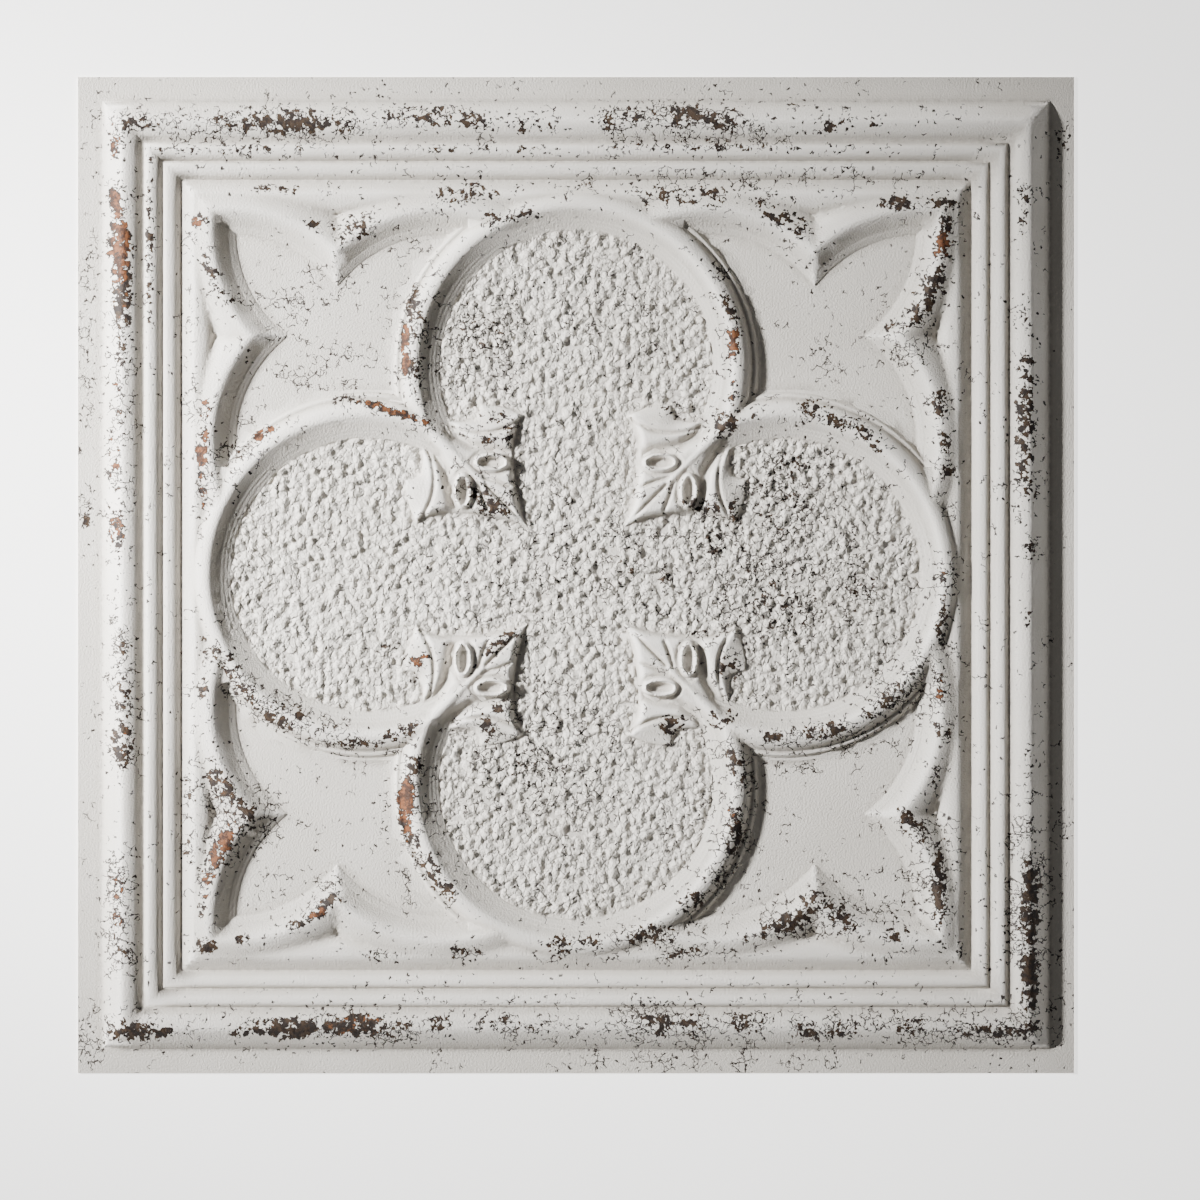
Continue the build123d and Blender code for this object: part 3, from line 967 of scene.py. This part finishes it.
    def fill(self, zone: Zone, pitch: float) -> Array:
        """Hexagonal grid over one zone of the eighth.

        Args:
            zone: The zone.
            pitch: Distance between neighbours.

        Returns:
            Points, shape (n, 2).
        """
        inner, ring = self.frame.inner, self.ring
        along = np.arange(0.0, inner, pitch * math.sqrt(0.75))
        x, y = np.meshgrid(np.arange(0.0, inner, pitch), along)
        x = x + (np.arange(len(along)) % 2)[:, None] * pitch / 2
        keep = (y > pitch * 0.3) & (x - y > pitch * 0.5) & (x < inner - pitch * 0.5)
        x, y = x[keep], y[keep]
        a, b = to_diagonal(x, y)
        near = self.leaf.near(a, b)
        on_leaf = np.zeros(x.shape, bool)
        on_leaf[near] = self.leaf.inward(a[near], b[near]) > self.leaf_gap
        panel = (x < ring.centre / 2) | (ring.radius(x, y) < ring.panel_radius - self.panel_gap)
        if zone is Zone.LEAF:
            chosen = on_leaf
        elif zone is Zone.PANEL:
            chosen = panel & ~on_leaf
        else:
            chosen = ~panel & ~on_leaf
        if zone is Zone.SEAM:
            on_ring = ring.radius(x, y) < ring.crest_radius
            tracery = np.where(on_ring, ABSENT, self.tracery.height(x, y))
            forms = np.sort([ring.height(x, y), tracery, self.frame.height(x)], axis=0)
            chosen &= (forms[2] - forms[1] < self.seam_drop) & (forms[2] > self.seam_level)
        return pairs(x, y)[chosen]

    def thinned(self, rows: list[Array], grid: Grid) -> Array:
        """Fills the zones and drops the points that crowd a row or a more important zone.

        Args:
            rows: Fixed rows, which are all kept.
            grid: How finely the side is laid out.

        Returns:
            The loose points that are left.
        """
        taken = np.concatenate(rows)
        left = []
        for zone, (pitch, gap) in grid.zones.items():
            points = self.fill(zone, pitch)
            keep = np.ones(len(points), bool)
            for start in range(0, len(points), self.block):
                part = slice(start, start + self.block)
                keep[part] = np.hypot(*(points[part, None] - taken).T).min(axis=0) > gap
            left.append(points[keep])
            taken = np.concatenate([taken, points[keep]])
        return np.concatenate(left)

    def eighth(self, grid: Grid) -> tuple[Array, Array]:
        """Triangulates one eighth of the tile with its rows as fixed edges.

        Args:
            grid: How finely the side is laid out.

        Returns:
            Vertices (n, 2) and triangles (m, 3), turned anticlockwise.
        """
        loose, rows = self.layout(grid)
        points = [Vector(point) for point in np.concatenate([*rows, loose]).tolist()]
        ends = np.cumsum([len(row) for row in rows])
        begin = np.setdiff1d(np.arange(ends[-1]), ends - 1)
        edges = pairs(begin, begin + 1).tolist()
        vertices, _, faces, *_ = delaunay_2d_cdt(points, edges, [], 0, 1e-4)
        flat = np.array([tuple(vertex) for vertex in vertices])
        faces = np.array([face for face in faces if len(face) == 3])
        first, second, third = (flat[faces[:, n]] for n in range(3))
        area = (second[:, 0] - first[:, 0]) * (third[:, 1] - first[:, 1])
        area -= (second[:, 1] - first[:, 1]) * (third[:, 0] - first[:, 0])
        faces = np.where((area < 0.0)[:, None], faces[:, ::-1], faces)
        return flat, faces[np.abs(area) > 1e-6]

    @staticmethod
    def all_round(flat: Array, faces: Array) -> tuple[Array, Array]:
        """Copies an eighth to the whole tile and joins the copies where they meet.

        Args:
            flat: Vertices of the eighth.
            faces: Triangles of the eighth.

        Returns:
            Vertices and triangles of the whole tile.
        """
        parts, triangles = [], []
        for number in range(8):
            flip = 1 if number % 2 == 0 else -1
            x, y = flat[:, ::flip].T
            cos, sin = ((1, 0), (0, 1), (-1, 0), (0, -1))[number // 2]
            parts.append(pairs(x * cos - y * sin, x * sin + y * cos))
            triangles.append(faces[:, ::flip] + number * len(flat))
        points = np.concatenate(parts)
        _, index, back = np.unique(
            np.round(points, 3) + 0.0, axis=0, return_index=True, return_inverse=True)
        joined = back.ravel()[np.concatenate(triangles)]
        whole = (joined != np.roll(joined, 1, axis=1)).all(axis=1)
        return points[index], joined[whole]

    def back_height(self, x: Array, y: Array) -> Array:
        """Height of the back, the face moved in by the sheet's thickness t.

        It is the lowest of H(q) - sqrt(t^2 - |q - p|^2) over points q round p, and never under 0.

        Args:
            x, y: Coordinates over the tile.

        Returns:
            Heights of the back.
        """
        thick = self.frame.sheet
        lowest = self.structure(x, y) - thick
        for share in self.back_shares:
            drop = thick * math.sqrt(1.0 - share**2)
            for dx, dy in steps_round(thick * share):
                lowest = np.minimum(lowest, self.structure(x + dx, y + dy) - drop)
        return np.maximum(lowest, 0.0)

    def standing(self, x: Array, y: Array, reach: float) -> Array:
        """How far a point stands over the mean of twelve points at a distance round it."""
        around = [self.structure(x + dx, y + dy) for dx, dy in steps_round(reach)]
        return self.structure(x, y) - sum(around) / len(around)

    def build(self) -> bpy.types.Object:
        """Makes the closed sheet: face, back and the wall round the edge.

        Returns:
            The object, with its wear attributes, and the crest and hollow attributes that also
            carry the painted highlight and the painted shade.
        """
        face_xy, face_tri = self.all_round(*self.eighth(FACE))
        back_xy, back_tri = self.all_round(*self.eighth(BACK))
        x, y = face_xy[:, 0], face_xy[:, 1]
        ground = self.ground(x, y)
        pebble = self.pebbles.height(x, y) - self.pebbles.sunk * self.pebbles.dome_height
        top = self.structure(x, y) + ground * pebble
        low = self.back_height(back_xy[:, 0], back_xy[:, 1])
        count = len(face_xy)
        points = np.vstack([np.column_stack([face_xy, top]), np.column_stack([back_xy, low])]) * MM
        faces = np.concatenate([face_tri, back_tri[:, ::-1] + count, self.wall(face_xy, back_xy)])
        mesh = bpy.data.meshes.new("tile_sheet")
        mesh.vertices.add(len(points))
        mesh.vertices.foreach_set("co", points.astype(np.float32).ravel())
        mesh.loops.add(len(faces) * 3)
        mesh.loops.foreach_set("vertex_index", faces.astype(np.int32).ravel())
        mesh.polygons.add(len(faces))
        mesh.polygons.foreach_set("loop_start", np.arange(0, len(faces) * 3, 3, dtype=np.int32))
        mesh.polygons.foreach_set("use_smooth", np.ones(len(faces), bool))
        mesh.update(calc_edges=True)
        mesh.validate()
        mesh.set_sharp_from_angle(angle=math.radians(self.sharp))
        # crest also sets a painted highlight on the crests, and hollow the painted shade in
        # creases.
        crest, hollow = (
            self.standing(x, y, reach) / full for reach, full in (self.crest, self.hollow))
        fields = {"crest": np.clip(crest, -1.0, 1.0), "hollow": np.clip(-hollow, 0.0, 1.0),
                  "ground": ground, "face": np.ones(count)}
        for name, values in (fields | self.wear.fields(x, y)).items():
            self.attribute(mesh, name, np.concatenate([values, np.zeros(len(back_xy))]))
        LOG.info("sheet: %d triangles, %d on the back", len(faces), len(back_tri))
        return added("tile_sheet", mesh)

    def wall(self, face_xy: Array, back_xy: Array) -> Array:
        """Triangles of the wall between the outer edges of face and back.

        Both edges have the same vertices, and going round by angle pairs them.

        Args:
            face_xy: Vertices of the face.
            back_xy: Vertices of the back.

        Returns:
            Triangles (n, 3).
        """
        half = self.frame.side / 2 - self.touch
        rings = []
        for points, start in ((face_xy, 0), (back_xy, len(face_xy))):
            index = np.flatnonzero(np.abs(points).max(axis=1) > half)
            order = np.argsort(np.arctan2(points[index, 1], points[index, 0]))
            rings.append(index[order] + start)
        upper, lower = rings
        upper_next, lower_next = np.roll(upper, -1), np.roll(lower, -1)
        first = np.column_stack([upper, lower, lower_next])
        return np.concatenate([first, np.column_stack([upper, lower_next, upper_next])])

    @staticmethod
    def attribute(mesh: bpy.types.Mesh, name: str, values: Array) -> None:
        """Writes one number for each vertex under a name that the paint reads."""
        made = mesh.attributes.new(name, "FLOAT", "POINT")
        made.data.foreach_set("value", values.astype(np.float32))


def added(name: str, data: bpy.types.ID) -> bpy.types.Object:
    """Puts an object with the given data in the scene.

    Args:
        name: Name of the object.
        data: Its mesh, light or camera.

    Returns:
        The object, at the origin.
    """
    made = bpy.data.objects.new(name, data)
    bpy.context.scene.collection.objects.link(made)
    return made


def linear(code: str) -> tuple[float, float, float, float]:
    """Linear colour of an sRGB hex code.

    Args:
        code: Six hex digits after a #.

    Returns:
        Red, green, blue and an alpha of 1.
    """
    parts = [int(code[n:n + 2], 16) / 255.0 for n in (1, 3, 5)]
    return (*[p / 12.92 if p <= 0.04045 else ((p + 0.055) / 1.055) ** 2.4 for p in parts], 1.0)


def node(tree: Tree, kind: str, links: dict | None = None, **settings: object) -> Node:
    """Adds a node with its settings, values and links.

    Args:
        tree: Tree that gets the node.
        kind: Blender's name for the node, without ShaderNode.
        links: Input name or number to a socket, a node for its first output, or a plain value.
        settings: Attributes of the node itself.

    Returns:
        The new node.
    """
    made = tree.nodes.new(f"ShaderNode{kind}")
    for name, value in settings.items():
        setattr(made, name, value)
    for key, value in (links or {}).items():
        if isinstance(value, Node):
            value = value.outputs[0]
        if isinstance(value, Socket):
            tree.links.new(value, made.inputs[key])
        else:
            made.inputs[key].default_value = value
    return made


@dataclass(frozen=True)
class DistressedPaint:
    """Warm white emulsion rubbed over copper and dark brown coats on rigid PVC.

    It gives the eye a matt, slightly mottled white with a painted highlight on the crests and
    painted shade in the hollows, dark angular flakes along the crests, copper in the larger ones,
    fine crackle lines and pepper-like specks. Sizes are millimetres, so the scale of a texture is
    1000 over its size.
    """

    # white and shade: crests are painted lighter as a painted highlight, the rest darker.
    white: str = "#f8f3eb"
    shade: str = "#dcd6cc"
    painted_crease_shade: str = "#80766b"
    crack: str = "#38312d"
    # Painted shade colour, mixed into the hollows and creases.
    brown: str = "#2a221e"
    umber: str = "#453629"
    copper: str = "#3f2617"
    bright_copper: str = "#77492b"
    flake: float = 3.1
    flake_edge: float = 2.2
    worn_through: float = 0.73
    crackle: float = 6.0
    fine_crackle: float = 3.1
    crackle_patch: float = 16.0
    crackle_gap: float = 5.0
    speck: float = 2.3
    peel: float = 1.2
    pebble: float = 3.9
    warp: float = 3.0
    warp_reach: float = 4.2
    broad: float = 60.0
    grain: float = 4.5
    bump: float = 0.24

    def build(self) -> bpy.types.Material:
        """Makes the material from its flakes, crackle lines, coat and fine relief.

        The back, where the face attribute is 0, has no flakes or lines.

        Returns:
            The paint.
        """
        material = bpy.data.materials.new("distressed_white_paint")
        material.use_nodes = True
        material.node_tree.nodes.clear()
        add = partial(node, material.node_tree)
        place = add("TexCoord").outputs["Object"]
        drift = add("TexNoise", {"Vector": place, "Scale": 1000 / self.warp, "Detail": 2.0}, **FLAT)
        off = {0: drift.outputs["Color"], 1: (0.5, 0.5, 0.5)}
        centred = add("VectorMath", off, operation="SUBTRACT")
        shift = add("VectorMath", {0: centred, "Scale": self.warp_reach * MM}, operation="SCALE")
        warped = add("VectorMath", {0: place, 1: shift}, operation="ADD")
        broad = add("TexNoise", {"Vector": place, "Scale": 1000 / self.broad}, **FLAT)
        grain = add("TexNoise", {"Vector": place, "Scale": 1000 / self.grain, "Detail": 4.0,
                                 "Roughness": 0.6}, **FLAT)
        made = {"warped": warped, "broad": broad, "grain": grain}
        read = {"place": place} | {name: one.outputs[0] for name, one in made.items()}
        for name in ("worn", "copper", "crazed", "crest", "hollow", "ground", "face"):
            read[name] = add("Attribute", attribute_name=name).outputs["Fac"]
        base, value = self.wear(add, read)
        limits = {1: self.worn_through, 2: self.worn_through + 0.03}
        chipped = add("MapRange", {0: value, **limits}, **SMOOTH)
        marks = self.marks(add, read, base)
        chipped, marks = (
            add("Math", {0: share, 1: read["face"]}, operation="MULTIPLY").outputs[0]
            for share in (chipped, marks))
        # The coat holds the painted highlight on crests and the painted shade in hollows.
        coat, bare = self.coat(add, read), self.bare(add, read, value)
        marked = add("Mix", {0: marks, 6: coat, 7: linear(self.crack)}, data_type="RGBA")
        colour = add("Mix", {0: chipped, 6: marked.outputs[2], 7: bare}, data_type="RGBA")
        rough = add("MapRange", {0: chipped, 3: 0.55, 4: 0.62})
        shader = add("BsdfPrincipled", {
            "Base Color": colour.outputs[2], "Roughness": rough, "Specular IOR Level": 0.3,
            "Normal": self.relief(add, read, chipped, marks)})
        add("OutputMaterial", {"Surface": shader})
        return material

    def wear(self, add: Callable, read: dict[str, Socket]) -> tuple[Socket, Socket]:
        """Wear of the white coat, smooth and broken into flakes.

        Smooth wear is worn + 0.3 crest * step(broad). The broken one adds 0.8 odds - 0.94 with
        the random number of a cell, and a fine noise.

        Args:
            add: The node function for the material's tree.
            read: Coordinates, noises and attributes by name.

        Returns:
            Smooth and broken wear.
        """
        fine = add("TexNoise", {"Vector": read["place"], "Scale": 1000 / self.flake_edge,
                                "Detail": 2.0, "Roughness": 0.5}, **FLAT)
        flake = add("TexVoronoi", {"Vector": read["warped"], "Scale": 1000 / self.flake}, **CELLS)
        odds = add("SeparateColor", {0: flake.outputs["Color"]})
        some = add("MapRange", {0: read["broad"], 1: 0.42, 2: 0.66, 4: 0.3}, **SMOOTH)
        base = add("Math", {0: read["crest"], 1: some, 2: read["worn"]}, operation="MULTIPLY_ADD")
        lower = add("Math", {0: base, 1: 0.94}, operation="SUBTRACT")
        broken = add("Math", {0: odds, 1: 0.8, 2: lower}, operation="MULTIPLY_ADD")
        broken = add("Math", {0: broken, 1: fine}, operation="ADD")
        return base.outputs[0], broken.outputs[0]

    def marks(self, add: Callable, read: dict[str, Socket], base: Socket) -> Socket:
        """Crackle lines and specks.

        Lines follow the edges of warped cells where a patchy noise and the crazed and worn fields
        pass a limit. Specks are the middles of cells that a random number picks.

        Args:
            add: The node function for the material's tree.
            read: Coordinates, noises and attributes by name.
            base: Smooth wear.

        Returns:
            Share of dark marks.
        """
        place = read["place"]
        patch, gap = (
            add("TexNoise", {"Vector": place, "Scale": 1000 / size, "Detail": detail}, **FLAT)
            for size, detail in ((self.crackle_patch, 3.0), (self.crackle_gap, 2.0)))
        split = add("Math", {0: patch, 1: gap}, operation="ADD")
        for source, weight in ((read["crazed"], 0.38), (base, 0.24)):
            split = add("Math", {0: source, 1: weight, 2: split}, operation="MULTIPLY_ADD")
        shown = []
        for size, wide, narrow, low in (
                (self.crackle, 0.07, 0.03, 1.25), (self.fine_crackle, 0.09, 0.04, 1.42)):
            edge = add("TexVoronoi", {"Vector": read["warped"], "Scale": 1000 / size},
                       feature="DISTANCE_TO_EDGE", **CELLS)
            thin = add("MapRange", {0: edge, 1: wide, 2: narrow}, **SMOOTH)
            there = add("MapRange", {0: split, 1: low, 2: low + 0.07}, **SMOOTH)
            shown.append(add("Math", {0: thin, 1: there}, operation="MULTIPLY"))
        dots = add("TexVoronoi", {"Vector": read["warped"], "Scale": 1000 / self.speck}, **CELLS)
        pick = add("SeparateColor", {0: dots.outputs["Color"]}).outputs[1]
        for source, weight in ((read["broad"], 0.22), (base, 0.42)):
            pick = add("Math", {0: source, 1: weight, 2: pick}, operation="MULTIPLY_ADD")
        chosen = add("MapRange", {0: pick, 1: 1.10, 2: 1.13}, **SMOOTH)
        middle = add("MapRange", {0: dots, 1: 0.38, 2: 0.26}, **SMOOTH)
        shown.append(add("Math", {0: chosen, 1: middle}, operation="MULTIPLY"))
        most = add("Math", {0: shown[0], 1: shown[1]}, operation="MAXIMUM")
        return add("Math", {0: most, 1: shown[2]}, operation="MAXIMUM").outputs[0]

    def coat(self, add: Callable, read: dict[str, Socket]) -> Socket:
        """Colour of the white coat: painted lighter on the crests as a painted highlight, with
        painted shade in the hollows.

        Args:
            add: The node function for the material's tree.
            read: Coordinates, noises and attributes by name.

        Returns:
            The colour.
        """
        # Painted highlight: crests get the lighter white colour, mixed with a broad random mottle.
        mottle_and_painted_highlight = add("Math", {0: read["broad"], 1: 0.5, 2: read["crest"]}, operation="MULTIPLY_ADD")
        mottle_and_painted_highlight = add("MapRange", {0: mottle_and_painted_highlight, 1: 0.05, 2: 0.85}, **SMOOTH)
        # Painted shade: hollows and creases are darkened by a patchy grey-brown mix.
        patchy = add("MapRange", {0: read["grain"], 1: 0.3, 2: 0.7, 3: 0.1, 4: 0.45})
        painted_shade_share = add("Math", {0: read["hollow"], 1: patchy}, operation="MULTIPLY")
        colour = linear(self.shade)
        for share, other in ((mottle_and_painted_highlight, self.white), (painted_shade_share, self.painted_crease_shade)):
            mixed = add("Mix", {0: share, 6: colour, 7: linear(other)}, data_type="RGBA")
            colour = mixed.outputs[2]
        return colour

    def bare(self, add: Callable, read: dict[str, Socket], value: Socket) -> Socket:
        """Colour of the coats under the white one: dark brown, and copper in the larger flakes.

        Args:
            add: The node function for the material's tree.
            read: Coordinates, noises and attributes by name.
            value: Broken wear, which is high in the middle of a flake.

        Returns:
            The colour.
        """
        grain = read["grain"]
        mottled = add("MapRange", {0: grain, 1: 0.42, 2: 0.60}, **SMOOTH)
        dark, glow = (
            add("Mix", {0: mottled, 6: linear(low), 7: linear(high)}, data_type="RGBA").outputs[2]
            for low, high in ((self.brown, self.umber), (self.copper, self.bright_copper)))
        uneven = add("Math", {0: grain, 1: 1.3, 2: -0.65}, operation="MULTIPLY_ADD")
        depth = add("Math", {0: read["copper"], 1: 0.85, 2: uneven}, operation="MULTIPLY_ADD")
        there = add("MapRange", {0: depth, 1: 0.42, 2: 0.50}, **SMOOTH)
        deep = add("MapRange", {0: value, 1: 0.80, 2: 0.95}, **SMOOTH)
        shown = add("Math", {0: there, 1: deep}, operation="MULTIPLY")
        return add("Mix", {0: shown, 6: dark, 7: glow}, data_type="RGBA").outputs[2]

    def relief(self, add: Callable, read: dict[str, Socket], chipped: Socket,
               marks: Socket) -> Node:
        """Orange peel of the coat, sunk flakes and lines, and small domes on the pebbled ground.

        The height is 1.6 peel - 0.9 chipped - 0.5 marks - 8 d^2 ground, in units of the bump's
        0.24 mm, where d runs from the middle of a pebble's cell.

        Args:
            add: The node function for the material's tree.
            read: Coordinates, noises and attributes by name.
            chipped: Share of flakes.
            marks: Share of lines and specks.

        Returns:
            The bump node.
        """
        peel = add("TexNoise", {"Vector": read["place"], "Scale": 1000 / self.peel, "Detail": 2.0,
                                "Roughness": 0.6}, **FLAT)
        dome = add("TexVoronoi", {"Vector": read["warped"], "Scale": 1000 / self.pebble}, **CELLS)
        square = add("Math", {0: dome, 1: dome}, operation="MULTIPLY")
        deep = add("Math", {0: read["ground"], 1: -8.0}, operation="MULTIPLY")
        height = add("Math", {0: peel, 1: 1.6}, operation="MULTIPLY")
        for source, weight in ((chipped, -0.9), (marks, -0.5), (square, deep)):
            height = add("Math", {0: source, 1: weight, 2: height}, operation="MULTIPLY_ADD")
        return add("Bump", {"Height": height, "Distance": self.bump * MM, "Strength": 1.0})


@dataclass(frozen=True)
class Studio:
    """Pale floor, one soft spot light from far on the left, a weak fill and a camera overhead.

    Lengths of floor and light are metres, those of the camera millimetres.
    """

    floor: str = "#fbfaf8"
    floor_reach: float = 3.0
    floor_drop: float = 0.0004
    floor_glow: float = 1.7
    fill: float = 0.085
    width: float = 726.8
    aim: tuple = (14.5, -15.1)
    distance: float = 4200.0
    lens: float = 200.0
    elevation: float = 26.0
    azimuth: float = 164.0
    reach: float = 4.5
    power: float = 7500.0
    spread: float = 0.53
    lamp_size: float = 0.36
    lamp_aim: tuple = (-0.60, 0.15, 0.0)

    def build(self) -> None:
        """Makes floor, light, world and camera."""
        mesh = bpy.data.meshes.new("floor")
        far = self.floor_reach
        corners = [(-far, -far, 0.0), (far, -far, 0.0), (far, far, 0.0), (-far, far, 0.0)]
        mesh.from_pydata(corners, [], [(0, 1, 2, 3)])
        floor = added("floor", mesh)
        floor.location.z = -self.floor_drop
        material = bpy.data.materials.new("pale_floor")
        material.use_nodes = True
        colour = linear(self.floor)
        settings = {"Base Color": colour, "Roughness": 0.8, "Emission Color": colour,
                    "Emission Strength": self.floor_glow}
        for name, value in settings.items():
            material.node_tree.nodes["Principled BSDF"].inputs[name].default_value = value
        mesh.materials.append(material)
        self.key()
        world = bpy.data.worlds.new("studio")
        world.use_nodes = True
        background = world.node_tree.nodes["Background"]
        background.inputs["Color"].default_value = (1.0, 1.0, 1.0, 1.0)
        background.inputs["Strength"].default_value = self.fill
        bpy.context.scene.world = world
        camera = added("camera", bpy.data.cameras.new("camera"))
        camera.data.sensor_width = self.width / self.distance * self.lens
        camera.data.lens = self.lens
        camera.data.clip_end = 20.0
        camera.location = [length * MM for length in (*self.aim, self.distance)]
        bpy.context.scene.camera = camera

    def key(self) -> None:
        """Adds the spot light, aimed left of the tile so that its soft edge dims the right."""
        high, turn = math.radians(self.elevation), math.radians(self.azimuth)
        level = math.cos(high)
        place = Vector((math.cos(turn) * level, math.sin(turn) * level, math.sin(high)))
        place *= self.reach
        data = bpy.data.lights.new("key", "SPOT")
        data.energy = self.power
        data.spot_blend = 1.0
        data.spot_size = 2.0 * math.atan(self.spread / self.reach)
        data.shadow_soft_size = self.lamp_size
        lamp = added("key", data)
        lamp.location = place
        away = Vector(self.lamp_aim) - place
        lamp.rotation_euler = away.to_track_quat("-Z", "Y").to_euler()


def main() -> None:
    """Builds the sheet, its paint and the studio, and reports each."""
    logging.basicConfig(level=logging.INFO, format="%(name)s: %(message)s")
    sheet = TileSheet().build()
    sheet.data.materials.append(DistressedPaint().build())
    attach(sheet, "root")
    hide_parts("ceiling_tile")
    LOG.info("paint: %s", sheet.data.materials[0].name)
    Studio().build()
    LOG.info("studio: camera over the tile")


if __name__ == "__main__":
    main()
